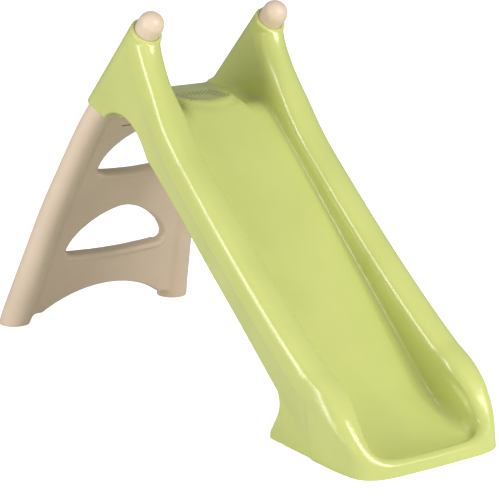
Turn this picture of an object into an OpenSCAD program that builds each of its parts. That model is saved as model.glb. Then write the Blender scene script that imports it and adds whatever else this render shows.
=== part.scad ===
// Toddler wave slide: a blow-moulded chute that plugs onto a two-step blow-moulded ladder.
// Millimetres. +Z is up and +X is the way a child slides. The origin is on the ground,
// in the middle of the footprint. Both mouldings are hollow shells.

/* [Chute] */
// Height of the platform above the ground
deck_z = 541; // [450:1:650]
// Length of the flat platform, from its rear edge to where the bed rolls over
deck_len = 190; // [158:1:228]
// Thickness of the platform slab
deck_t = 45; // [38:1:54]
// Horizontal run of the straight part of the bed
slope_run = 581; // [484:1:698]
// Length of the flat run-out past the foot of the slope
exit_len = 128; // [106:1:154]
// Height of the bed above the ground at the outlet
exit_z = 20; // [17:1:24]
// Distance between the centre lines of the two sleeves
sleeve_gap = 288; // [240:1:346]
// Distance between the centre lines of the two rails, lower down
rail_gap = 308; // [290:1:346]
// Radius of the rounded rail top
rail_r = 29; // [24:1:34]
// Height of the rail's crest above the bed near the top
rail_rise_top = 60; // [50:1:72]
// Height of the rail's crest above the bed near the outlet
rail_rise_low = 111; // [93:1:133]
// Depth of the side skirt below the bed near the top
skirt_drop_top = 70; // [58:1:84]
// Depth of the side skirt below the bed near the heel
skirt_drop_low = 42; // [35:1:50]
// Half-width of the chute where it meets the ground
base_half = 162; // [150:1:175]
// Half-width between the rails, at the bed
bed_half = 120; // [100:1:126]
// Wall thickness of the chute moulding
chute_wall = 3.5; // [3:0.1:4.2]

/* [Sleeves] */
// Lean of the sleeves from horizontal, in degrees
sleeve_lean = 44.6; // [42:0.1:48]
// Length of a sleeve above the platform
sleeve_up = 210; // [175:1:250]
// Length of a sleeve below the platform, along its axis
sleeve_down = 30; // [25:1:36]
// Tilt of a sleeve's lower end from horizontal, in degrees
tail_tilt = 16; // [14:1:20]
// Distance from the platform's rear edge to the sleeve axis
sleeve_inset = 32; // [27:1:38]
// Gap between spigot and sleeve, on the radius
spigot_gap = 0.6; // [0.4:0.1:1]

/* [Ladder] */
// Radius of the spigots and of the domes on top of them
spigot_r = 25.7; // [21.4:0.1:27.5]
// Radius of an upright at the ground
foot_r = 33.6; // [28:0.1:40]
// Height of the dome's centre above the sleeve mouth, along the spigot
dome_out = 19.5; // [16:0.5:23.5]
// Lean of the uprights' lower part from horizontal, in degrees
foot_lean = 66.5; // [62:0.1:70]
// Radius of the bend between the spigot and the lower part
bend_r = 870; // [725:1:940]
// Sideways spread of the uprights per unit of height
splay = 0.1575; // [0.13:0.005:0.19]
// Thickness of the web between the uprights
web_t = 26; // [22:1:30]
// How far the web's front face stands ahead of the uprights' centre line
web_front = 24; // [20:1:25]
// Depth of a step, from front to back
tread_depth = 40; // [34:1:48]
// How far the middle of a step dips below its ends
tread_dish = 6; // [5:1:7]
// Wall thickness of the ladder moulding
ladder_wall = 3.5; // [3:0.1:4.2]
// Height of the lower step's front edge
step_low_z = 165; // [138:1:190]
// Height of the upper step's front edge
step_high_z = 360; // [332:1:372]
// Width of the lower opening
gap_low_w = 244; // [204:1:256]
// Height of the lower opening
gap_low_h = 100; // [84:1:120]
// Width of the upper opening
gap_high_w = 192; // [160:1:200]
// Height of the upper opening
gap_high_h = 98; // [82:1:100]
// Radius of the arch between the feet
arch_r = 250; // [230:1:300]
// Height of the arch's crown
arch_z = 70; // [58:1:84]

/* [Catches] */
// Radius of the catch's push button
button_r = 4.5; // [3.8:0.1:5.4]
// Gap round the button
button_gap = 0.4; // [0.3:0.1:0.5]
// How far the button stands out of the sleeve
button_out = 2.5; // [2:0.1:3]
// Thickness of the catch's spring strip
strip_t = 0.8; // [0.7:0.1:1]
// Width of the catch's spring strip
strip_w = 12; // [10:1:14]
// Length of the catch's arms above the button's seat
strip_up = 14; // [12:1:17]
// Depth of the catch's fold below the button
strip_down = 56; // [47:1:67]

/* [Hidden] */
rest_gap = 0.3;                                          // air between parts that rest on each other
leaf = "#b9cf62";
sand = "#d8c6ad";
steel = "#c8ccd0";

// ---- chute profile, measured from the edge where the platform rolls over ----
slope = (deck_z - exit_z) / slope_run;
front_x = slope_run + exit_len;
deck_rear_x = -deck_len;
heel_x = 0.755 * slope_run;                              // the skirt turns down into the heel here
bore_r = spigot_r + spigot_gap;
sleeve_r = bore_r + 6.2;
axis_x = deck_rear_x + sleeve_inset;                     // sleeve axis at platform height
bow_r = 570;                                             // the outlet's front edge, seen from above
corner_r = 75;

function mix(a, b, t) = a + (b - a) * t;
function soft_min(a, b, k) = let (h = max(k - abs(a - b), 0) / k) min(a, b) - h * h * k / 4;
function soft_max(a, b, k) = let (h = max(k - abs(a - b), 0) / k) max(a, b) + h * h * k / 4;
function bezier(p, n) = [for (i = [0:n]) let (t = i / n, u = 1 - t)
    u * u * u * p[0] + 3 * u * u * t * p[1] + 3 * u * t * t * p[2] + t * t * t * p[3]];

function bed_line(x) = deck_z - slope * x;
function bed_z(x) = soft_max(soft_min(deck_z, bed_line(x), 24), exit_z, 70);
function above_bed(f, rise) = [f * slope_run, bed_line(f * slope_run) + rise];
function skirt_z(x) = bed_line(x) - mix(skirt_drop_top, skirt_drop_low, (x - 30) / (heel_x - 30));

// a point on the sleeve axis, and the same point moved square to it, towards the rear
function on_axis(s, m = 0) = [axis_x + s * cos(sleeve_lean) - m * sin(sleeve_lean),
                              deck_z + s * sin(sleeve_lean) + m * cos(sleeve_lean)];

tail_half = sleeve_r / cos(90 - sleeve_lean - tail_tilt);  // from the axis to the rim, along the lower end
mouth_front = on_axis(sleeve_up, -sleeve_r);
tail_front = on_axis(-sleeve_down) + (tail_half + 18) * [cos(tail_tilt), -sin(tail_tilt)];
ear_rear_x = deck_rear_x + 4;                            // the side walls start here, inside the sleeve tubes
rail_a = above_bed(0.27, rail_rise_top);
rail_b = above_bed(0.953, rail_rise_low);
nose = [front_x - 30, exit_z];

// crest of the side wall: up the back of the ear, past the mouth, down the rail to the nose
ear_top = on_axis(sleeve_up + 30, sleeve_r - 3);
ear_foot_s = (ear_rear_x - axis_x + (sleeve_r - 3) * sin(sleeve_lean)) / cos(sleeve_lean);
heel_turn = [heel_x + 10, skirt_z(heel_x + 10)];         // the side walls stop short of the ground here
ear_front = bezier([mouth_front, mouth_front + [8, -40], rail_a + [-66, 62], rail_a], 8);
rail_top = bezier([rail_a, above_bed(0.497, rail_rise_top + 5), above_bed(0.73, rail_rise_low - 33), rail_b], 8);
nose_top = bezier([rail_b, rail_b + [54, -36], nose + [-6, 80], nose], 8);
crest = concat([on_axis(ear_foot_s, sleeve_r - 3), ear_top, mouth_front + [-4, 24]], ear_front,
               [for (i = [1:8]) rail_top[i]], [for (i = [1:8]) nose_top[i]], [[front_x, exit_z]]);

// lower edge of the side wall: sleeve end, arch, skirt and heel
arch_end = [30, skirt_z(30)];
arch = bezier([tail_front, tail_front + [20, 19], arch_end + [-50, 99], arch_end], 8);
hem = concat([[ear_rear_x, tail_front[1]], tail_front + [-1, -8]], arch,
             [heel_turn, [heel_x + 30, 0], [front_x, 0]]);

stations = concat([ear_rear_x, mix(ear_rear_x, tail_front[0], 0.5), tail_front[0] - 1, ear_top[0]],
                  [for (p = arch) if (p[0] < ear_top[0]) p[0]], [mouth_front[0] - 4],
                  [for (p = ear_front) p[0]], [for (i = [1:8]) rail_top[i][0]], [heel_turn[0], heel_x + 30],
                  [for (i = [1:8]) nose_top[i][0]], [front_x]);
function in_order(v) = len(v) < 2 ? v : let (p = v[floor(len(v) / 2)])
    concat(in_order([for (x = v) if (x < p) x]), [p], in_order([for (x = v) if (x > p) x]));
ribs = in_order(stations);

// ---- ladder profile ----
spigot_low_z = deck_z - 36;                              // the spigots are straight above this height
function spigot_x(z) = axis_x + (z - deck_z) / tan(sleeve_lean);
bend_low_z = spigot_low_z - bend_r * (cos(sleeve_lean) - cos(foot_lean));
bend_low_x = spigot_x(spigot_low_z) - bend_r * (sin(foot_lean) - sin(sleeve_lean));
function bend_x(z) = let (t = acos(cos(sleeve_lean) - (spigot_low_z - z) / bend_r))
    spigot_x(spigot_low_z) - bend_r * (sin(t) - sin(sleeve_lean));
function leg_x(z) = z >= spigot_low_z ? spigot_x(z)
                  : z <= bend_low_z ? bend_low_x + (z - bend_low_z) / tan(foot_lean) : bend_x(z);
splay_z = deck_z - 113;
function leg_y(z) = let (s = max(splay_z - z, 0), h = 117)
    sleeve_gap / 2 + splay * (s < h ? s * s / (2 * h) : s - h / 2);
function leg_r(z) = z >= spigot_low_z ? spigot_r : mix(foot_r, spigot_r, z / spigot_low_z);
web_top_z = deck_z - deck_t - rest_gap;
dome = on_axis(sleeve_up + dome_out);
leg_steps = 16;
slit_z = deck_z - 75;                                    // moulded rebate under the platform
slit_w = 170;

catch_s = -10;                                           // where the button sits along the sleeve
foot_rear_x = leg_x(0) - foot_r / sin(foot_lean);
centre_x = (front_x + foot_rear_x) / 2;

module centred() translate([-centre_x, 0, 0]) children();
module both_sides() for (side = [0, 1]) mirror([0, side, 0]) children();
module along_sleeve(s, side = 1)
    translate([on_axis(s)[0], side * sleeve_gap / 2, on_axis(s)[1]]) rotate([0, 90 - sleeve_lean, 0]) children();

// a closed solid through a list of loops that all have the same number of points
module skin(loops) {
    n = len(loops[0]);
    last = (len(loops) - 1) * n;
    polyhedron([for (loop = loops) each loop], concat(
        [[for (k = [0:n - 1]) k]], [[for (k = [n - 1:-1:0]) last + k]],
        [for (i = [0:len(loops) - 2], k = [0:n - 1], half = [0, 1]) let (a = i * n + k, b = i * n + (k + 1) % n)
            half == 0 ? [a, a + n, b] : [b, a + n, b + n]]));
}

// ---- chute ----
// one upright slice of a side wall, thinned by the wall thickness when it shapes the hollow
function rib(x, w) = let (
        top = min(lookup(x - w, crest), lookup(x + w, crest)) - w,
        low = max(lookup(x - w, hem), lookup(x + w, hem)) + w,
        t = min(max((x + 2) / 200, 0), 1),
        mid = mix(sleeve_gap, rail_gap, t) / 2,
        r = mix(sleeve_r, rail_r, t) - w,
        dip = (lookup(x + 5, crest) - lookup(x - 5, crest)) / 10,
        tall = min(r * sqrt(1 + dip * dip), (top - low) * 0.6),
        inner = mix(mid - r, bed_half + w, t),
        outer = mix(mid + r, base_half + low / 50 - w, t))
    concat([for (a = [0:15:180]) [x, mid + r * cos(a), top - tall + tall * sin(a)]],
           [[x, inner, low], [x, outer, low]]);
module side_wall(w = 0)
    skin([for (x = ribs) if (w == 0 || (x > ribs[0] + w && x < front_x - w)) rib(x, w)]);

module bed_outline() {
    n = 44;
    xs = [for (i = [0:n]) mix(deck_rear_x, front_x, i / n)];
    polygon(concat([for (x = xs) [x, bed_z(x)]],
        [[front_x, 0], [heel_x + 43, 0], [heel_x + 43, skirt_z(heel_x + 43) + 3], [33, skirt_z(33) + 3],
         [-30, deck_z - deck_t], [deck_rear_x, deck_z - deck_t]]));
}
module heel_outline()
    polygon(concat(bezier([[heel_x + 3, skirt_z(heel_x) + 12], [heel_x + 28, 70], [heel_x + 6, 52], [heel_x - 15, 14]], 10),
        [[heel_x - 15.5, 6], [heel_x - 9, 0], [heel_x + 57, 0], [heel_x + 57, 84]]));
module across(half, w = 0)
    translate([0, half, 0]) rotate([90, 0, 0]) linear_extrude(2 * half) offset(delta = -w) children();
// the front edge's rounded bead, as a chain of balls along the bowed front
module lip() {
    r = exit_z / 2;
    n = 12;
    function at(i) = let (a = mix(-1, 1, i / n) * asin((base_half - corner_r) / bow_r))
        [front_x - bow_r + (bow_r - r) * cos(a), (bow_r - r) * sin(a), exit_z - r + 2];
    for (i = [0:n - 1]) hull() {
        translate(at(i)) sphere(r, $fn = 16);
        translate(at(i + 1)) sphere(r, $fn = 16);
    }
}
module plan(w = 0)
    linear_extrude(deck_z + sleeve_up) offset(r = corner_r) offset(delta = -corner_r - w) intersection() {
        translate([front_x - bow_r, 0]) circle(bow_r, $fn = 180);
        square([2 * front_x, 2 * (rail_gap / 2 + rail_r + 2)], center = true);
    }
module tread_pad()
    translate([0, 0, bed_z(18)]) linear_extrude(deck_z + 6 - bed_z(18)) hull()
        for (x = [-deck_len + 90, -16], side = [-1, 1]) translate([x, side * 52]) circle(28, $fn = 48);
// what the sleeves lose: everything past the mouth, cut square, and below the tilted lower end
module past_sleeves(w) {
    both_sides() along_sleeve(sleeve_up - w) translate([-50, -100, 0]) cube([51 + sleeve_r, 200, 400]);
    p = on_axis(-sleeve_down);
    translate([p[0], 0, p[1]]) rotate([0, tail_tilt, 0]) translate([-300, -500, w - 100])
        cube([300 + tail_half + 17, 1000, 100]);
}
module chute_body(w = 0) {
    intersection() {
        plan(w);
        union() {
            difference() {
                union() {
                    both_sides() side_wall(w);
                    if (w == 0) sleeve_tube(sleeve_r);
                }
                past_sleeves(w);
            }
            across(bed_half + 6, w) bed_outline();
            across(base_half - 1 - w, w) heel_outline();
            if (w == 0) lip();
        }
    }
}
module sleeve_tube(r, back = 0)
    both_sides() along_sleeve(-sleeve_down - 60) {
        cylinder(r = r, h = sleeve_down + sleeve_up + 160, $fn = 64);
        if (back > 0) translate([-back, -back / 2, 0]) cube([back, back, sleeve_down + sleeve_up + 160]);
    }
module vent(x, y, z) translate([x, y, z - 1]) cylinder(d = 8, h = 12, $fn = 32);
module chute() color(leaf) centred() difference() {
    union() {
        chute_body();
        tread_pad();
    }
    difference() {
        chute_body(chute_wall);
        sleeve_tube(bore_r + chute_wall, 3 * sleeve_r);
    }
    sleeve_tube(bore_r);
    vent(heel_x + 40, 0, 0);
    for (side = [-1, 1]) along_sleeve(catch_s, side) rotate([0, -90, 0])
        cylinder(r = button_r + button_gap, h = sleeve_r + 12, $fn = 32);
}

// ---- ladder ----
function unit(v) = v / norm(v);
function ring(c, dir, r) = let (u = unit(cross([0, 1, 0], dir)), v = cross(unit(dir), u))
    [for (a = [0:15:345]) c + r * (cos(a) * u + sin(a) * v)];
leg_dir = [cos(sleeve_lean), 0, sin(sleeve_lean)];
dome_at = [dome[0], sleeve_gap / 2, dome[1]];
function leg_at(z) = [leg_x(z), leg_y(z), z];
module leg(w = 0) skin(concat(
    [for (i = [0:leg_steps]) let (z = mix(-30, spigot_low_z, i / leg_steps))
        ring(leg_at(z), leg_at(z + 1) - leg_at(z - 1), leg_r(z) - w)],
    [for (a = [0:15:75]) ring(dome_at + leg_dir * (spigot_r - w) * sin(a), leg_dir, (spigot_r - w) * cos(a))],
    [ring(dome_at + leg_dir * (spigot_r - w), leg_dir, 0.2)]));
function web_loop(z, w) = let (f = leg_x(z) + web_front - w, b = leg_x(z) + web_front - web_t + w, y = leg_y(z))
    [[f, -y, z], [f, y, z], [b, y, z], [b, -y, z]];
module web(w = 0)
    skin([for (i = [0:leg_steps]) web_loop(mix(20, web_top_z - w, i / leg_steps), w)]);
// a step's tread: a chain of rounded bars that follows the dished lower edge of an opening
module tread(z, width) {
    n = 6;
    function at(i) = let (t = 2 * i / n - 1) [t * width / 2, z - tread_dish * (1 - t * t)];
    for (i = [0:n - 1]) hull() for (k = [i, i + 1])
        for (x = [leg_x(z) + web_front - 7, leg_x(z) + web_front - tread_depth + 7])
            translate([x, at(k)[0], at(k)[1] - 7]) sphere(7, $fn = 16);
}
// an opening with a gently dished lower edge, which is the step, and a domed top
function dome_points(width, height, bulge) = [for (a = [0:6:180])
    let (c = cos(a), s = sin(a)) [sign(c) * width / 2 * pow(abs(c), bulge), height * pow(s, bulge)]];
function dish_points(width, sag) = [for (i = [1:7]) let (t = i / 4 - 1) [t * width / 2, -sag * (1 - t * t)]];
module opening(z, width, height, bulge, w) {
    translate([leg_x(z) - 200, 0, z]) rotate([90, 0, 90]) linear_extrude(400) offset(delta = w)
        polygon(concat(dome_points(width, height, bulge), dish_points(width, tread_dish)));
}
module openings(w = 0) {
    opening(step_low_z, gap_low_w, gap_low_h, 1.2, w);
    opening(step_high_z, gap_high_w, gap_high_h, 1, w);
    translate([leg_x(0) - 200, 0, arch_z - arch_r]) rotate([0, 90, 0]) cylinder(r = arch_r + w, h = 400, $fn = 128);
}
module ladder_body(w = 0) intersection() {
    union() {
        both_sides() leg(w);
        difference() {
            web(w);
            openings(w);
        }
        if (w == 0) {
            tread(step_low_z, gap_low_w);
            tread(step_high_z, gap_high_w);
        }
    }
    translate([-1000, -1000, w]) cube([2000, 2000, 2000]);
}
module ladder() color(sand) centred() difference() {
    ladder_body();
    ladder_body(ladder_wall);
    translate([leg_x(slit_z) + web_front - 2, -slit_w / 2, slit_z - 1.5]) cube([20, slit_w, 3]);
    both_sides() vent(leg_x(8), leg_y(8), 0);
    for (side = [-1, 1]) along_sleeve(catch_s, side) rotate([0, -90, 0])
        cylinder(r = button_r + button_gap, h = spigot_r + 4, $fn = 32);
}

// ---- catches: a folded spring strip inside each spigot, with a button through both walls ----
module catch_strip() {
    reach = spigot_r - ladder_wall - rest_gap;
    half = strip_w / 2;
    flat = sqrt(reach * reach - half * half);            // the strip's edges touch the round wall here
    knee = -10 - strip_t / 2;
    fold = 2 * strip_t - strip_down;
    translate([0, half, 0]) rotate([90, 0, 0]) linear_extrude(strip_w) polygon([
        [-flat, strip_up], [-flat, -10], [-2, -strip_down], [2, -strip_down], [flat, -10], [flat, strip_up],
        [flat - strip_t, strip_up], [flat - strip_t, knee], [strip_t, fold],
        [-strip_t, fold], [strip_t - flat, knee], [strip_t - flat, strip_up]]);
    rotate([0, -90, 0]) translate([0, 0, flat - strip_t / 2])
        cylinder(r = button_r, h = sleeve_r + button_out - flat + strip_t / 2, $fn = 48);
}
module catch_on(side) color(steel) centred() along_sleeve(catch_s, side) catch_strip();
module left_catch() catch_on(1);
module right_catch() catch_on(-1);

chute();
ladder();
left_catch();
right_catch();
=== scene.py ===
import math

import bmesh
import bpy
from mathutils import Matrix, Vector


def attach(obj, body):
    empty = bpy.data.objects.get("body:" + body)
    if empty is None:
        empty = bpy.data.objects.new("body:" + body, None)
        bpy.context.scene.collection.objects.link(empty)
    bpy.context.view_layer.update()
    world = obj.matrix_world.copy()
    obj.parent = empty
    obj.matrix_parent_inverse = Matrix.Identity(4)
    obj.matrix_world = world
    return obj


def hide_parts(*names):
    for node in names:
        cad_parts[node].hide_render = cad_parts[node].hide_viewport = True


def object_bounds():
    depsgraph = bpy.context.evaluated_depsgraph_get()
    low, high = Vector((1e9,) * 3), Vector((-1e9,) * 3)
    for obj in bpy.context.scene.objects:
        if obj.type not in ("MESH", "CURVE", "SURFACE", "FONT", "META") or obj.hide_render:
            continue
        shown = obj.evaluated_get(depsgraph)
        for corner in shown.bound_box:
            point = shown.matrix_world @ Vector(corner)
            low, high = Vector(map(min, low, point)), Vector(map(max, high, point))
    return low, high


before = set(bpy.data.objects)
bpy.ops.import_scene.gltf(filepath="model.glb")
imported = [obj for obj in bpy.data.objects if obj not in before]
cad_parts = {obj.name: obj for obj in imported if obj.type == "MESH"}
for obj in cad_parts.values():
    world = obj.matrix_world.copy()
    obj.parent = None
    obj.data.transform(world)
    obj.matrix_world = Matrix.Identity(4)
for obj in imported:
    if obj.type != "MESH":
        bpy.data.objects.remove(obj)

cadLow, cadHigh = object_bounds()
print("frame loaded, CAD box", [round(v, 4) for v in (*cadLow, *cadHigh)])

mm = 0.001

# chute sizes in millimetres, x counted from where the platform rolls over into the bed
chuteSize = {
    "deckZ": 541, "deckLen": 190, "deckThick": 45, "run": 581, "exitLen": 128, "exitZ": 20,
    "sleeveGap": 288, "railGap": 300, "railIn": 38, "railOut": 33, "riseTop": 66, "riseLow": 117,
    "dropTop": 70, "dropLow": 42, "baseHalf": 162, "innerFoot": 37, "bedUp": 9, "cornerDip": 13,
    "rollEase": 24, "exitEase": 70, "filletTop": 12, "filletLow": 16, "heelShare": 0.755,
    "lean": 44.6, "sleeveUp": 210, "sleeveDown": 30, "tailTilt": 16, "inset": 32,
    "boreR": 26.3, "wall": 6.2, "buttonR": 4.9,
    "padX": -68, "padLong": 80, "padWide": 68, "padPower": 0.8,
    "voxel": 3.1, "smoothing": 11,
}
c = chuteSize
sleeveR = c["boreR"] + c["wall"]
frontX = c["run"] + c["exitLen"]
heelX = c["heelShare"] * c["run"]
axisX = c["inset"] - c["deckLen"]
centreX = frontX - cadHigh.x / mm                     # local x minus this is the frame's x
leanCos, leanSin = math.cos(math.radians(c["lean"])), math.sin(math.radians(c["lean"]))
underGround = -8                                      # lofts that stand on the ground run on to this height
sharpAngle = math.radians(55)
sleeveDir = Vector((leanCos, 0, leanSin))


def mix(a, b, t):
    return a + (b - a) * t


def clamp(t, low=0.0, high=1.0):
    return max(low, min(high, t))


def ease(t):
    t = clamp(t)
    return t * t * (3 - 2 * t)


def softMax(a, b, k):
    h = max(k - abs(a - b), 0) / k
    return max(a, b) + h * h * k / 4


def softMin(a, b, k):
    return -softMax(-a, -b, k)


def bezier(points, count):
    curve = []
    for i in range(count + 1):
        t = i / count
        u = 1 - t
        weights = (u * u * u, 3 * u * u * t, 3 * u * t * t, t * t * t)
        curve.append(tuple(sum(w * p[k] for w, p in zip(weights, points)) for k in (0, 1)))
    return curve


def lookup(x, curve):
    if x <= curve[0][0]:
        return curve[0][1]
    for (x0, z0), (x1, z1) in zip(curve, curve[1:]):
        if x <= x1:
            return mix(z0, z1, (x - x0) / (x1 - x0)) if x1 > x0 else z1
    return curve[-1][1]


def toFrame(x, y, z):
    return Vector(((x - centreX) * mm, y * mm, z * mm))


def onAxis(s, m=0.0):                                 # x and z, s along the sleeve and m square to it
    return (axisX + s * leanCos - m * leanSin, c["deckZ"] + s * leanSin + m * leanCos)


def moved(p, dx, dz):
    return (p[0] + dx, p[1] + dz)


def newLoft(bm, loops):                               # a capped circle, extruded from loop to loop
    ring = bmesh.ops.create_circle(bm, cap_ends=True, segments=len(loops[0]), radius=1)["verts"]
    face = ring[0].link_faces[0]
    for v, p in zip(face.verts, loops[0]):
        v.co = p
    for loop in loops[1:]:
        made = bmesh.ops.extrude_face_region(bm, geom=[face])["geom"]
        face = next(g for g in made if isinstance(g, bmesh.types.BMFace))
        for v, p in zip(face.verts, loop):
            v.co = p


def meshObject(name, bm):
    bmesh.ops.recalc_face_normals(bm, faces=bm.faces)
    mesh = bpy.data.meshes.new(name)
    bm.to_mesh(mesh)
    bm.free()
    for p in mesh.polygons:
        p.use_smooth = True
    obj = bpy.data.objects.new(name, mesh)
    bpy.context.collection.objects.link(obj)
    return obj


def bake(obj):                                        # the modifiers' result becomes the mesh itself
    bpy.context.view_layer.update()
    graph = bpy.context.evaluated_depsgraph_get()
    mesh = bpy.data.meshes.new_from_object(obj.evaluated_get(graph))
    obj.modifiers.clear()
    old = obj.data
    obj.data = mesh
    bpy.data.meshes.remove(old)
    mesh.name = obj.name
    return obj


def fuse(obj, voxel, passes):                         # one skin over all the lofts, with soft blends
    skin = obj.modifiers.new("skin", "REMESH")
    skin.mode, skin.voxel_size, skin.use_smooth_shade = "VOXEL", voxel * mm, True
    calm = obj.modifiers.new("calm", "SMOOTH")
    calm.factor, calm.iterations = 0.5, passes
    return bake(obj)


def bmeshOf(obj):                                     # takes the mesh back and drops its object
    bm = bmesh.new()
    bm.from_mesh(obj.data)
    bpy.data.objects.remove(obj)
    return bm


def cutAway(obj, bm, name):
    cutter = meshObject(name, bm)
    cut = obj.modifiers.new(name, "BOOLEAN")
    cut.operation, cut.solver, cut.object = "DIFFERENCE", "EXACT", cutter
    bake(obj)
    bpy.data.objects.remove(cutter)


def addBox(bm, place, *size):
    size = Matrix.Diagonal((*(v * mm for v in size), 1))
    bmesh.ops.create_cube(bm, size=1, matrix=place @ size)


def levelOff(obj):                                    # nothing below the ground
    below = bmesh.new()
    addBox(below, Matrix.Translation((0, 0, -0.1)), 2000, 2000, 200)
    cutAway(obj, below, "ground")


def rod(bm, start, end, radius, segments):
    axis = end - start
    turn = axis.to_track_quat("Z", "Y").to_matrix().to_4x4()
    place = Matrix.Translation((start + end) / 2) @ turn
    bmesh.ops.create_cone(bm, cap_ends=True, segments=segments, radius1=radius, radius2=radius,
                          depth=axis.length, matrix=place)


def sleeveRods(low, high, radius, segments):          # one on each side, between two points of onAxis
    bm = bmesh.new()
    for y in (c["sleeveGap"] / 2, -c["sleeveGap"] / 2):
        rod(bm, toFrame(low[0], y, low[1]), toFrame(high[0], y, high[1]), radius * mm, segments)
    return bm


def spline(points, count):                            # a smooth run through the points
    out = []
    last = len(points) - 1
    for i in range(count + 1):
        f = i / count * last
        k = min(int(f), last - 1)
        t = f - k
        p0, p1, p2, p3 = (points[max(0, min(last, k + j))] for j in (-1, 0, 1, 2))
        out.append(tuple(0.5 * (2 * b + (d - a) * t + (2 * a - 5 * b + 4 * d - e) * t * t
                                + (3 * b - a - 3 * d + e) * t ** 3) for a, b, d, e in zip(p0, p1, p2, p3)))
    return out


slope = (c["deckZ"] - c["exitZ"]) / c["run"]


def bedLine(x):
    return c["deckZ"] - slope * x


def bedZ(x, y=0.0):                                   # the corners beside the pad dip before the bed starts
    dip = c["cornerDip"] * ease((x + 100) / 80) * ease((abs(y) - 60) / 14)
    rolled = softMin(c["deckZ"] - dip, bedLine(x) + c["bedUp"], c["rollEase"])
    return softMax(rolled, c["exitZ"], c["exitEase"])


def skirtZ(x):                                        # the skirt's lower edge
    return bedLine(x) - mix(c["dropTop"], c["dropLow"], (x - 30) / (heelX - 30))


def aboveBed(f, rise):                                # x and z at a fraction of the run
    return (f * c["run"], bedLine(f * c["run"]) + rise)


tailHalf = sleeveR / math.cos(math.radians(90 - c["lean"] - c["tailTilt"]))
tailTilt = math.radians(c["tailTilt"])
tailReach = tailHalf + 18
mouthFront = onAxis(c["sleeveUp"], -sleeveR)
tailFront = moved(onAxis(-c["sleeveDown"]), tailReach * math.cos(tailTilt), -tailReach * math.sin(tailTilt))
earRearX = 4 - c["deckLen"]
railA, railB = aboveBed(0.27, c["riseTop"]), aboveBed(0.953, c["riseLow"])    # the straight rail's two ends
earFront = bezier([mouthFront, moved(mouthFront, 8, -40), moved(railA, -66, 62), railA], 30)
railTop = bezier([railA, aboveBed(0.497, c["riseTop"] + 5), aboveBed(0.73, c["riseLow"] - 33), railB], 30)
archEnd = (30, skirtZ(30))
arch = bezier([tailFront, moved(tailFront, 20, 19), moved(archEnd, -50, 99), archEnd], 24)
hem = [(earRearX, tailFront[1]), moved(tailFront, -1, -8)] + arch
hem += [(heelX + 10, skirtZ(heelX + 10)), (heelX + 30, underGround), (frontX, underGround)]

# along the nose: x, y and height of the crest, inner and outer half-width, inner and outer foot, fillet
noseRun = [
    (railB[0], 150, railB[1], 38, 33, 37, 15, 14), (596, 149.5, 140, 37, 31, 36, 15, 20),
    (627, 148, 115, 32, 29, 33, 16, 26), (648, 144, 90, 26, 25, 28, 18, 28),
    (664, 138, 66, 21, 21, 22, 23, 26), (677, 129, 46, 16, 17, 17, 23, 20),
    (687, 114, 32, 12, 13, 13, 20, 13), (694, 93, 25.5, 10, 11, 10, 15, 8),
    (698, 60, 23.5, 9, 9, 9, 11.5, 6), (700, 0, 23, 9, 9, 9, 10, 6),
]


def filletAt(x):
    return mix(c["filletTop"], c["filletLow"], ease((x - 300) / 250))


def girth(x):                                         # wall centre, half-widths in and out at top and foot
    t = ease((x + 30) / 120)
    foot = c["baseHalf"] + skirtZ(x) / 50 - c["railGap"] / 2
    widths = (mix(sleeveR, w, t) for w in (c["railIn"], c["railOut"], c["innerFoot"], foot))
    return (mix(c["sleeveGap"], c["railGap"], t) / 2, *widths)


# the crest of one wall from above the mouth to the middle of the front lip: x, y, z, four half-widths, fillet
crestRun = [moved(mouthFront, -2.4 * k, 12 * k) for k in (2, 1)] + earFront + railTop[1:-1]
crestRun = [(x, girth(x)[0], z, *girth(x)[1:], filletAt(x)) for x, z in crestRun]
crestRun += spline(noseRun, 54)


def railFrames():                                     # crest point, sideways and upward directions, values
    frames = []
    for i, p in enumerate(crestRun):
        a, b = crestRun[max(i - 1, 0)], crestRun[min(i + 1, len(crestRun) - 1)]
        along = Vector((b[0] - a[0], b[1] - a[1], b[2] - a[2])).normalized()
        if i == len(crestRun) - 1:
            along = Vector((0, -1, 0))
        out = Vector((-along.y, along.x, 0)).normalized() if p[0] > railB[0] else Vector((0, 1, 0))
        frames.append((Vector(p[:3]), out, along.cross(out).normalized(), p))
    return frames


def railLoop(frameAt, side):                          # squarer towards the bed than outwards
    point, out, up, p = frameAt
    square = ease((mouthFront[0] + 25 - p[0]) / -60)
    deepOut = min(mix(46, 40, square), p[2] * 0.6) if p[0] < railB[0] else min(p[4] * 1.25, p[2] * 0.6)
    deepIn = min(mix(46, 29, square), p[2] * 0.6) if p[0] < railB[0] else min(p[3] * 0.8, p[2] * 0.6)
    floor = max(deepIn, deepOut) + 2
    loop = []
    for k in range(33):
        a = math.pi * k / 32
        reach, deep = (p[4], deepOut) if a < math.pi / 2 else (-p[3], deepIn)
        power = 2 / mix(2, 2.3 if a < math.pi / 2 else 2.8, square)
        across, rise = abs(math.cos(a)) ** power, abs(math.sin(a)) ** power
        loop.append((reach * across, deep * (rise - 1)))
    loop += [(-p[3], -floor), (p[4], -floor)]
    spots = [point + d * out + h * up for d, h in loop]
    if p[0] < railB[0]:                               # the width follows the wall behind the crest
        for v, (d, _) in zip(spots, loop):
            mid, inner, outer, *_ = girth(v.x)
            v.y = mid + (d / p[4] * outer if d > 0 else d / p[3] * inner)
    return [toFrame(v.x, side * v.y, v.z) for v in spots]


rails = railFrames()


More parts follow.
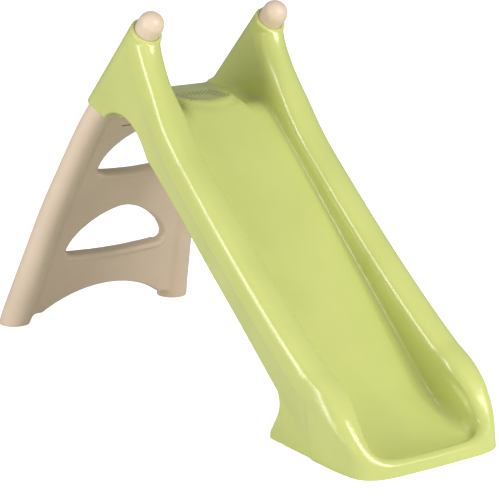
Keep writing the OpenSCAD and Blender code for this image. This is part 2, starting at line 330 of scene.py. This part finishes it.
def wallSections():                                   # upright slices under the rail
    # x, y, direction across, four half-widths, top, low, fillet
    line = [(v.x - 38 * up.x, v.z - 38 * up.z) for v, _, up, p in rails if p[0] <= railB[0]]
    slices = []
    xs = {earRearX, tailFront[0] - 1, heelX + 10, heelX + 30, mouthFront[0]}
    xs |= {earRearX + 6 * i for i in range(int((railB[0] - earRearX) / 6))}
    for x in sorted(xs):
        front = lookup(x, line) if x > line[0][0] else mouthFront[1] + 70
        rear = c["deckZ"] + (x - axisX) * leanSin / leanCos
        low = lookup(x, hem)
        mid, *widths = girth(x)
        top = max(min(front, rear), low + 4)
        slices.append((x, mid, 0.0, 1.0, *widths, top, low, filletAt(x)))
    for v, out, up, p in rails:
        if p[0] > railB[0]:
            top = max(v.z - min(p[3], v.z * 0.55), 3)
            slices.append((v.x, v.y, out.x, out.y, *p[3:7], top, underGround, p[7]))
    return slices


def wallLoop(s, side):
    x, y, nx, ny, inner, outer, innerFoot, outerFoot, top, low, _ = s
    fold = clamp(skirtZ(x), low, top - 1) if heelX < x < railB[0] else low    # the hem runs on as a fold
    corner = c["baseHalf"] + low / 50 - y if ny == 1 else outerFoot
    loop = [(outer, top), (-inner, top), (-innerFoot, low), (corner, low), (outerFoot, fold)]
    return [toFrame(x + d * nx, side * (y + d * ny), z) for d, z in loop]


sections = wallSections()


def lift(x, y):                                       # how far the bed curls up beside a rail or the lip
    best, near = 1e9, sections[0]
    for s in sections:
        if abs(s[0] - x) < 60 or s[0] > 560:
            gap = math.hypot(x - s[0], y - s[1])
            if gap < best:
                best, near = gap, s
    t = clamp(1 - (best - near[6]) / near[10])
    return near[10] * (1 - math.sqrt(1 - t * t)) * 0.9


def bedLoops():
    loops = []
    count = 64
    noseEdge = [(s[0], s[1]) for s in sections if s[0] >= railB[0]]
    last = frontX - 12
    stops = {-c["deckLen"] + 5 * i for i in range(int((last + c["deckLen"]) / 5) + 1)} | {last}
    for x in sorted(stops):
        half = 124 if x < railB[0] else lookup(x, noseEdge) - 4
        under = mix(c["deckZ"] - c["deckThick"], skirtZ(33) + 3, clamp((x + 30) / 63))
        under = under if x < 33 else (skirtZ(x) + 3 if x < heelX + 43 else underGround)
        top = []
        for k in range(count + 1):
            y = half * (2 * k / count - 1)
            rise = lift(x, abs(y)) if x > -30 else 7 * (1 - math.sqrt(1 - clamp((abs(y) - 104) / 8) ** 2))
            top.append(toFrame(x, y, bedZ(x, y) + rise))
        loops.append(top + [toFrame(x, half, under), toFrame(x, -half, under)])
    return loops


def heelLoops():
    back = bezier([(heelX + 3, skirtZ(heelX) + 12), (heelX + 28, 70), (heelX + 6, 52), (heelX - 15, 14)], 20)
    outline = back + [(heelX - 16, 6), (heelX - 15, -1), (heelX - 12, underGround),
                      (heelX + 57, underGround), (heelX + 57, 84)]
    loops = []
    for y in (0.5 - c["baseHalf"], 6 - c["baseHalf"], 0, c["baseHalf"] - 6, c["baseHalf"] - 0.5):
        last = heelX + (14 if abs(y) > c["baseHalf"] - 2 else 57)
        loops.append([toFrame(min(x, last), y, z) for x, z in outline])
    return loops


def padLoops():                                       # the raised tread pad, from its foot to its top
    loops = []
    for grow, z in ((3, -16), (2.4, 1), (1, 4.2), (-1, 5.4), (-9, 5.6)):
        outline = []
        for k in range(96):
            a = 2 * math.pi * k / 96
            across = math.copysign(abs(math.cos(a)) ** c["padPower"], math.cos(a))
            aside = math.copysign(abs(math.sin(a)) ** c["padPower"], math.sin(a))
            x, y = c["padX"] + (c["padLong"] + grow) * across, (c["padWide"] + grow) * aside
            top = softMin(c["deckZ"] + z, bedLine(x) + c["bedUp"] + min(z, 1.5), 24)
            outline.append(toFrame(x, y, top))
        loops.append(outline)
    return loops


def belowTail():                                      # all that lies under the sleeves' tilted tail
    bm = bmesh.new()
    x, z = onAxis(-c["sleeveDown"])
    width = 300 + tailHalf + 17
    place = Matrix.Translation(toFrame(x, 0, z)) @ Matrix.Rotation(tailTilt, 4, "Y")
    addBox(bm, place @ Matrix.Translation(((-300 + width / 2) * mm, 0, -50 * mm)), width, 1000, 100)
    return bm


def pastMouth():                                      # all that lies above the sleeves' mouths
    bm = bmesh.new()
    x, z = onAxis(c["sleeveUp"] + 100)
    turn = Matrix.Rotation(math.radians(90 - c["lean"]), 4, "Y")
    for side in (1, -1):
        place = Matrix.Translation(toFrame(x, side * c["sleeveGap"] / 2, z)) @ turn
        addBox(bm, place @ Matrix.Translation((-16 * mm, 0, 0)), 100, 130, 200)
    return bm


def buildChute():
    bm = bmesh.new()
    for side in (1, -1):
        newLoft(bm, [wallLoop(s, side) for s in sections])
        newLoft(bm, [railLoop(f, side) for f in rails])
    ears = meshObject("ears", bm)
    cutAway(ears, pastMouth(), "pastMouth")
    cutAway(ears, belowTail(), "belowTail")
    bm = bmeshOf(ears)
    tubes = sleeveRods(onAxis(-c["sleeveDown"] - 12), onAxis(c["sleeveUp"]), sleeveR, 96)
    tubes = meshObject("tubes", tubes)
    cutAway(tubes, belowTail(), "belowTail")
    bm.from_mesh(tubes.data)
    bpy.data.objects.remove(tubes)
    for loops in (bedLoops(), heelLoops(), padLoops()):
        newLoft(bm, loops)
    shell = fuse(meshObject("chuteShell", bm), c["voxel"], c["smoothing"])
    levelOff(shell)
    bores = sleeveRods(onAxis(-c["sleeveDown"] - 60), onAxis(c["sleeveUp"] + 40), c["boreR"], 96)
    cutAway(shell, bores, "bores")
    cutAway(shell, sleeveRods(onAxis(-10), onAxis(-10, sleeveR + 12), c["buttonR"], 32), "buttonHoles")
    shell.data.set_sharp_from_angle(angle=sharpAngle)
    return shell


chuteShell = buildChute()
print("chute shell:", len(chuteShell.data.polygons), "faces")
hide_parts("chute")
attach(chuteShell, "chute_shell")


ladderSize = {
    "spigotR": 25.7, "footR": 33.6, "domeOut": 19.5, "footLean": 66.5, "bendR": 870, "splay": 0.1575,
    "webThick": 26, "webFront": 24, "treadDepth": 40, "treadDish": 6, "treadNose": 8, "treadHigh": 15,
    "lowZ": 162, "highZ": 358, "lowW": 244, "lowH": 100, "highW": 192, "highH": 98,
    "lowBulge": 1.25, "lowCorner": 8, "highBulge": 1.1, "highCorner": 4, "archR": 250, "archZ": 70,
    "straightDown": 36, "splayDown": 113, "splayEase": 117, "slitDown": 75, "slitW": 170, "slitH": 2.6,
    "voxel": 3.2, "smoothing": 9,
}
d = ladderSize
tanLean = leanSin / leanCos
straightZ = c["deckZ"] - d["straightDown"]            # the spigots are straight above this height
footCos, footSin = math.cos(math.radians(d["footLean"])), math.sin(math.radians(d["footLean"]))
bendLowZ = straightZ - d["bendR"] * (leanCos - footCos)
straightX = axisX + (straightZ - c["deckZ"]) / tanLean
bendLowX = straightX - d["bendR"] * (footSin - leanSin)
webTopZ = c["deckZ"] - c["deckThick"] - 0.3


def legX(z):                                          # the upright's centre line: straight, bent, straight
    if z >= straightZ:
        return axisX + (z - c["deckZ"]) / tanLean
    if z <= bendLowZ:
        return bendLowX + (z - bendLowZ) * footCos / footSin
    t = math.acos(leanCos - (straightZ - z) / d["bendR"])
    return straightX - d["bendR"] * (math.sin(t) - leanSin)


def legY(z):
    s = max(c["deckZ"] - d["splayDown"] - z, 0)
    e = d["splayEase"]
    return c["sleeveGap"] / 2 + d["splay"] * (s * s / (2 * e) if s < e else s - e / 2)


def legR(z):
    return d["spigotR"] if z >= straightZ else mix(d["footR"], d["spigotR"], z / straightZ)


def ringLoop(centre, along, radius, side):
    u = Vector((0, 1, 0)).cross(along).normalized()
    v = along.normalized().cross(u)
    loop = []
    for k in range(48):
        p = centre + radius * (math.cos(k * math.pi / 24) * u + math.sin(k * math.pi / 24) * v)
        loop.append(toFrame(p.x, side * p.y, p.z))
    return loop


def legLoops(side):
    loops = []
    for z, k in ((-7, 0.9), (-4, 0.95), (1, 0.99), (7, 1.0)):    # the rounded foot
        foot = []
        for i in range(48):
            a = i * math.pi / 24
            across, aside = k * legR(z) * math.cos(a) / footSin, k * legR(z) * math.sin(a)
            foot.append(toFrame(legX(z) + across, side * (legY(z) + aside), z))
        loops.append(foot)
    for i in range(61):
        z = mix(30, straightZ, i / 60)
        along = Vector((legX(z + 1) - legX(z - 1), legY(z + 1) - legY(z - 1), 2))
        loops.append(ringLoop(Vector((legX(z), legY(z), z)), along, legR(z), side))
    x, z = onAxis(c["sleeveUp"] + d["domeOut"])
    dome = Vector((x, c["sleeveGap"] / 2, z))
    for a in range(0, 90, 6):
        a = math.radians(a)
        centre = dome + sleeveDir * d["spigotR"] * math.sin(a)
        loops.append(ringLoop(centre, sleeveDir, d["spigotR"] * math.cos(a), side))
    return loops


def webLoops():
    loops = []
    for i in range(41):
        z = mix(20, webTopZ, i / 40)
        front, y = legX(z) + d["webFront"], legY(z)
        back = front - d["webThick"]
        loops.append([toFrame(*p, z) for p in ((front, -y), (front, y), (back, y), (back, -y))])
    return loops


def openingLoops(z, width, height, bulge, corner):    # an arch over a floor that dips with the tread
    outline = []
    for k in range(49):
        a = math.pi * k / 48
        across = math.copysign(abs(math.cos(a)) ** bulge, math.cos(a)) if 0 < k < 48 else math.cos(a)
        outline.append((across * width / 2, z + corner + (height - corner) * math.sin(a) ** bulge))
    floor = []
    for k in range(1, 32):
        t = k / 16 - 1
        edge = clamp((abs(t) * width / 2 - width / 2 + corner) / corner)
        rise = corner * (1 - math.sqrt(1 - edge * edge))
        floor.append((t * width / 2, z - d["treadDish"] * (1 - t * t) + rise))
    return [[toFrame(legX(z) + dx, y, h) for y, h in outline + floor] for dx in (-200, 200)]


def treadLoops(z, width):                             # a rounded bar, dished in the middle
    loops = []
    front, rear = legX(z) + d["webFront"] + d["treadNose"], legX(z) + d["webFront"] - d["treadDepth"]
    r = d["treadHigh"] / 2
    for i in range(25):
        t = 2 * i / 24 - 1
        shy = r * (1 - math.sqrt(1 - max(abs(t) * 12 - 11, 0) ** 2 * 0.9))
        top = z - d["treadDish"] * (1 - t * t)
        loop = []
        for k in range(24):
            a = 2 * math.pi * k / 24
            x = (front - r if math.cos(a) > 0 else rear + r) + (r - shy) * math.cos(a)
            loop.append(toFrame(x, t * width / 2, top - r + (r - shy) * math.sin(a)))
        loops.append(loop)
    return loops


def buildLadder():
    bm = bmesh.new()
    newLoft(bm, webLoops())
    web = meshObject("web", bm)
    for step in ("low", "high"):
        gaps = bmesh.new()
        shape = (d[step + part] for part in ("Z", "W", "H", "Bulge", "Corner"))
        newLoft(gaps, openingLoops(*shape))
        cutAway(web, gaps, step + "Gap")
    gaps = bmesh.new()
    x, z = legX(0), d["archZ"] - d["archR"]
    rod(gaps, toFrame(x - 200, 0, z), toFrame(x + 200, 0, z), d["archR"] * mm, 256)
    cutAway(web, gaps, "arch")
    bm = bmeshOf(web)
    for side in (1, -1):
        newLoft(bm, legLoops(side))
    newLoft(bm, treadLoops(d["lowZ"], d["lowW"]))
    newLoft(bm, treadLoops(d["highZ"], d["highW"]))
    shell = fuse(meshObject("ladderShell", bm), d["voxel"], d["smoothing"])
    levelOff(shell)
    slit = bmesh.new()
    z = c["deckZ"] - d["slitDown"]
    addBox(slit, Matrix.Translation(toFrame(legX(z) + d["webFront"] + 4, 0, z)), 20, d["slitW"], d["slitH"])
    cutAway(shell, slit, "slit")
    shell.data.set_sharp_from_angle(angle=sharpAngle)
    return shell


ladderShell = buildLadder()
print("ladder shell:", len(ladderShell.data.polygons), "faces")
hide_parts("ladder")
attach(ladderShell, "ladder_frame")


def newMaterial(name):
    m = bpy.data.materials.new(name)
    m.use_nodes = True
    return m, m.node_tree.nodes, m.node_tree.links


def noise(nodes, links, coords, scale, detail=2.0, stretch=None):
    tex = nodes.new("ShaderNodeTexNoise")
    tex.inputs["Scale"].default_value = scale
    tex.inputs["Detail"].default_value = detail
    if stretch:
        place = nodes.new("ShaderNodeMapping")
        place.inputs["Scale"].default_value = stretch
        place.inputs["Rotation"].default_value = (0, math.radians(-41.9), 0)
        links.new(coords, place.inputs["Vector"])
        coords = place.outputs["Vector"]
    links.new(coords, tex.inputs["Vector"])
    return tex.outputs["Fac"]


def spread(nodes, links, value, low, high, fromLow=0.3, fromHigh=0.7):
    fit = nodes.new("ShaderNodeMapRange")
    for name, v in (("From Min", fromLow), ("From Max", fromHigh), ("To Min", low), ("To Max", high)):
        fit.inputs[name].default_value = v
    links.new(value, fit.inputs["Value"])
    return fit.outputs["Result"]


def tinted(nodes, links, fac, first, second):
    blend = nodes.new("ShaderNodeMix")
    blend.data_type = "RGBA"
    blend.inputs[6].default_value = (*first, 1)
    blend.inputs[7].default_value = (*second, 1)
    links.new(fac, blend.inputs[0])
    return blend.outputs[2]


def maths(nodes, links, kind, a, b=None):
    n = nodes.new("ShaderNodeMath")
    n.operation = kind
    for k, v in enumerate((a, b)):
        if v is None:
            continue
        if isinstance(v, (int, float)):
            n.inputs[k].default_value = v
        else:
            links.new(v, n.inputs[k])
    return n.outputs[0]


def bumped(nodes, links, layers):                     # (height, strength, distance), coarse to fine
    normal = None
    for height, strength, distance in layers:
        b = nodes.new("ShaderNodeBump")
        b.inputs["Strength"].default_value = strength
        b.inputs["Distance"].default_value = distance
        links.new(height, b.inputs["Height"])
        if normal:
            links.new(normal, b.inputs["Normal"])
        normal = b.outputs["Normal"]
    return normal


greenLook = {
    "tone": (0.62, 0.665, 0.215), "toneDeep": (0.575, 0.62, 0.195), "rough": (0.16, 0.22),
    "peel": 0.03, "scuff": 0.05,
}
sandLook = {
    "tone": (0.80, 0.645, 0.485), "toneDeep": (0.75, 0.60, 0.45), "rough": (0.36, 0.48),
    "peel": 0.06, "scuff": 0.05,
}
# grip dots on the pad; the shade factor scales the green tone down to paint shade on the dots
padDots = {"pitch": 0.0095, "inner": 0.0014, "outer": 0.0024, "midX": -42, "paintedDotShade": 0.45}


def mouldedPlastic(name, look, dots=False):
    m, nodes, links = newMaterial(name)
    shader = nodes["Principled BSDF"]
    coords = nodes.new("ShaderNodeTexCoord").outputs["Object"]
    flow = noise(nodes, links, coords, 7, 3)          # slow drift of tone and wall thickness
    colour = tinted(nodes, links, spread(nodes, links, flow, 0, 1), look["tone"], look["toneDeep"])
    if not dots:
        links.new(colour, shader.inputs["Base Color"])
    scuffs = noise(nodes, links, coords, 60, 4, (0.25, 6, 1))
    patches = noise(nodes, links, coords, 14, 3)
    worn = maths(nodes, links, "MULTIPLY", spread(nodes, links, scuffs, 0, 1, 0.5, 0.85),
                 spread(nodes, links, patches, 0, 1, 0.45, 0.8))
    rough = maths(nodes, links, "ADD", spread(nodes, links, patches, *look["rough"]),
                  maths(nodes, links, "MULTIPLY", worn, look["scuff"]))
    links.new(rough, shader.inputs["Roughness"])
    peel = noise(nodes, links, coords, 520, 2)
    wave = noise(nodes, links, coords, 26, 1)
    layers = [(wave, 0.03, 0.001), (peel, look["peel"], 0.0003)]
    if dots:                                          # the fine grip dots in the middle of the tread pad: raised by bump and painted darker as painted shade
        split = nodes.new("ShaderNodeSeparateXYZ")
        links.new(coords, split.inputs[0])
        pitch = padDots["pitch"]
        dist = None                                   # two square lattices, half a pitch apart
        for shift in (5.0, 5.0 + pitch / 2):
            rows = []
            for axis in (0, 1):
                place = maths(nodes, links, "ADD", split.outputs[axis], shift)
                cell = maths(nodes, links, "MODULO", place, pitch)
                off = maths(nodes, links, "SUBTRACT", cell, pitch / 2)
                rows.append(maths(nodes, links, "MULTIPLY", off, off))
            near = maths(nodes, links, "SQRT", maths(nodes, links, "ADD", rows[0], rows[1]))
            dist = maths(nodes, links, "MINIMUM", dist, near) if dist else near
        knob = spread(nodes, links, dist, 1, 0, padDots["inner"], padDots["outer"])
        midX = toFrame(padDots["midX"], 0, 0).x
        fromMid = maths(nodes, links, "ABSOLUTE", maths(nodes, links, "SUBTRACT", split.outputs[0], midX))
        inX = spread(nodes, links, fromMid, 1, 0, 0.036, 0.04)
        inY = spread(nodes, links, maths(nodes, links, "ABSOLUTE", split.outputs[1]), 1, 0, 0.046, 0.05)
        inZ = maths(nodes, links, "GREATER_THAN", split.outputs[2], (c["deckZ"] + 3) * mm)
        mask = maths(nodes, links, "MULTIPLY", maths(nodes, links, "MULTIPLY", inX, inY), inZ)
        stud = maths(nodes, links, "MULTIPLY", knob, mask)
        layers.append((stud, 0.9, 0.0009))
        # painted shade: the dots' colour is darkened to a fraction of the tone, standing in for the shade on
        # and around the small raised studs
        paintedDotShade = nodes.new("ShaderNodeMix")
        paintedDotShade.data_type = "RGBA"
        links.new(colour, paintedDotShade.inputs[6])
        paintedDotShade.inputs[7].default_value = (*(padDots["paintedDotShade"] * v for v in look["tone"]), 1)
        links.new(stud, paintedDotShade.inputs[0])
        links.new(paintedDotShade.outputs[2], shader.inputs["Base Color"])
    links.new(bumped(nodes, links, layers), shader.inputs["Normal"])
    shader.inputs["IOR"].default_value = 1.5
    return m


def springSteel():
    m, nodes, links = newMaterial("springSteel")
    shader = nodes["Principled BSDF"]
    shader.inputs["Metallic"].default_value = 1.0
    coords = nodes.new("ShaderNodeTexCoord").outputs["Object"]
    grain = noise(nodes, links, coords, 300, 3, (1, 1, 14))
    links.new(tinted(nodes, links, spread(nodes, links, grain, 0, 1), (0.62, 0.63, 0.64), (0.5, 0.51, 0.52)),
              shader.inputs["Base Color"])
    links.new(spread(nodes, links, grain, 0.22, 0.42), shader.inputs["Roughness"])
    links.new(bumped(nodes, links, [(grain, 0.08, 0.0002)]), shader.inputs["Normal"])
    return m


chuteShell.data.materials.clear()
chuteShell.data.materials.append(mouldedPlastic("glossyLeafPlastic", greenLook, dots=True))
ladderShell.data.materials.clear()
ladderShell.data.materials.append(mouldedPlastic("satinSandPlastic", sandLook))
steel = springSteel()
for node in ("left_catch", "right_catch"):
    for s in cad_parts[node].material_slots:
        s.material = steel
print("finishes done")


studio = {
    "worldLight": 0.33, "worldShine": 0.22, "floorGlow": 0.13,
    "leftPower": 36, "lowPower": 18, "frontPower": 82, "rightPower": 6.5,
}

floorMesh = bmesh.new()
bmesh.ops.create_grid(floorMesh, x_segments=1, y_segments=1, size=30)
floor = meshObject("floor", floorMesh)
floor.location.z = -0.0006
m, nodes, links = newMaterial("paleFloor")
paint = nodes["Principled BSDF"]
paint.inputs["Base Color"].default_value = (0.6, 0.6, 0.6, 1)
paint.inputs["Roughness"].default_value = 0.9
paint.inputs["Emission Color"].default_value = (1, 1, 1, 1)
seen = nodes.new("ShaderNodeLightPath").outputs["Is Camera Ray"]
links.new(spread(nodes, links, seen, studio["floorGlow"], 1.0, 0, 1), paint.inputs["Emission Strength"])
floor.data.materials.append(m)

world = bpy.data.worlds.new("studio")
bpy.context.scene.world = world
world.use_nodes = True
nodes, links = world.node_tree.nodes, world.node_tree.links
air = nodes["Background"]
path = nodes.new("ShaderNodeLightPath")
fill = spread(nodes, links, path.outputs["Is Glossy Ray"], studio["worldLight"], studio["worldShine"], 0, 1)
links.new(maths(nodes, links, "MAXIMUM", path.outputs["Is Camera Ray"], fill), air.inputs["Strength"])
air.inputs["Color"].default_value = (1, 1, 1, 1)


def softBox(name, place, target, width, height, power):
    lamp = bpy.data.lights.new(name, "AREA")
    lamp.shape, lamp.size, lamp.size_y, lamp.energy = "RECTANGLE", width, height, power
    obj = bpy.data.objects.new(name, lamp)
    bpy.context.collection.objects.link(obj)
    obj.location = place
    obj.rotation_euler = (Vector(target) - Vector(place)).to_track_quat("-Z", "Y").to_euler()
    return obj


softBox("leftBox", (-0.15, -2.9, 1.5), (0, 0, 0.4), 0.5, 2.3, studio["leftPower"])
softBox("lowBox", (0.2, -3.2, 0.35), (0.1, 0, 0.3), 2.6, 0.6, studio["lowPower"])
softBox("frontBox", (3.3, 0.6, 2.0), (0.1, 0, 0.3), 2.0, 1.4, studio["frontPower"])
softBox("rightBoxA", (2.8, 1.1, 1.7), (0.3, 0, 0.2), 0.16, 0.8, studio["rightPower"])
softBox("rightBoxB", (2.3, 1.8, 1.7), (0.3, 0, 0.2), 0.16, 0.8, studio["rightPower"])

cameraView = {"place": (3101.9, -2052.9, 1209.5), "down": 14.657, "round": 55.402, "lens": 138.2}
bpy.context.scene.view_settings.view_transform = "Standard"
cam = bpy.data.objects.new("camera", bpy.data.cameras.new("camera"))
bpy.context.collection.objects.link(cam)
bpy.context.scene.camera = cam
cam.location = toFrame(*cameraView["place"])
cam.rotation_euler = (math.radians(90 - cameraView["down"]), 0, math.radians(cameraView["round"]))
cam.data.lens, cam.data.sensor_width = cameraView["lens"], 36
cam.data.clip_end = 100
print("scene ready")
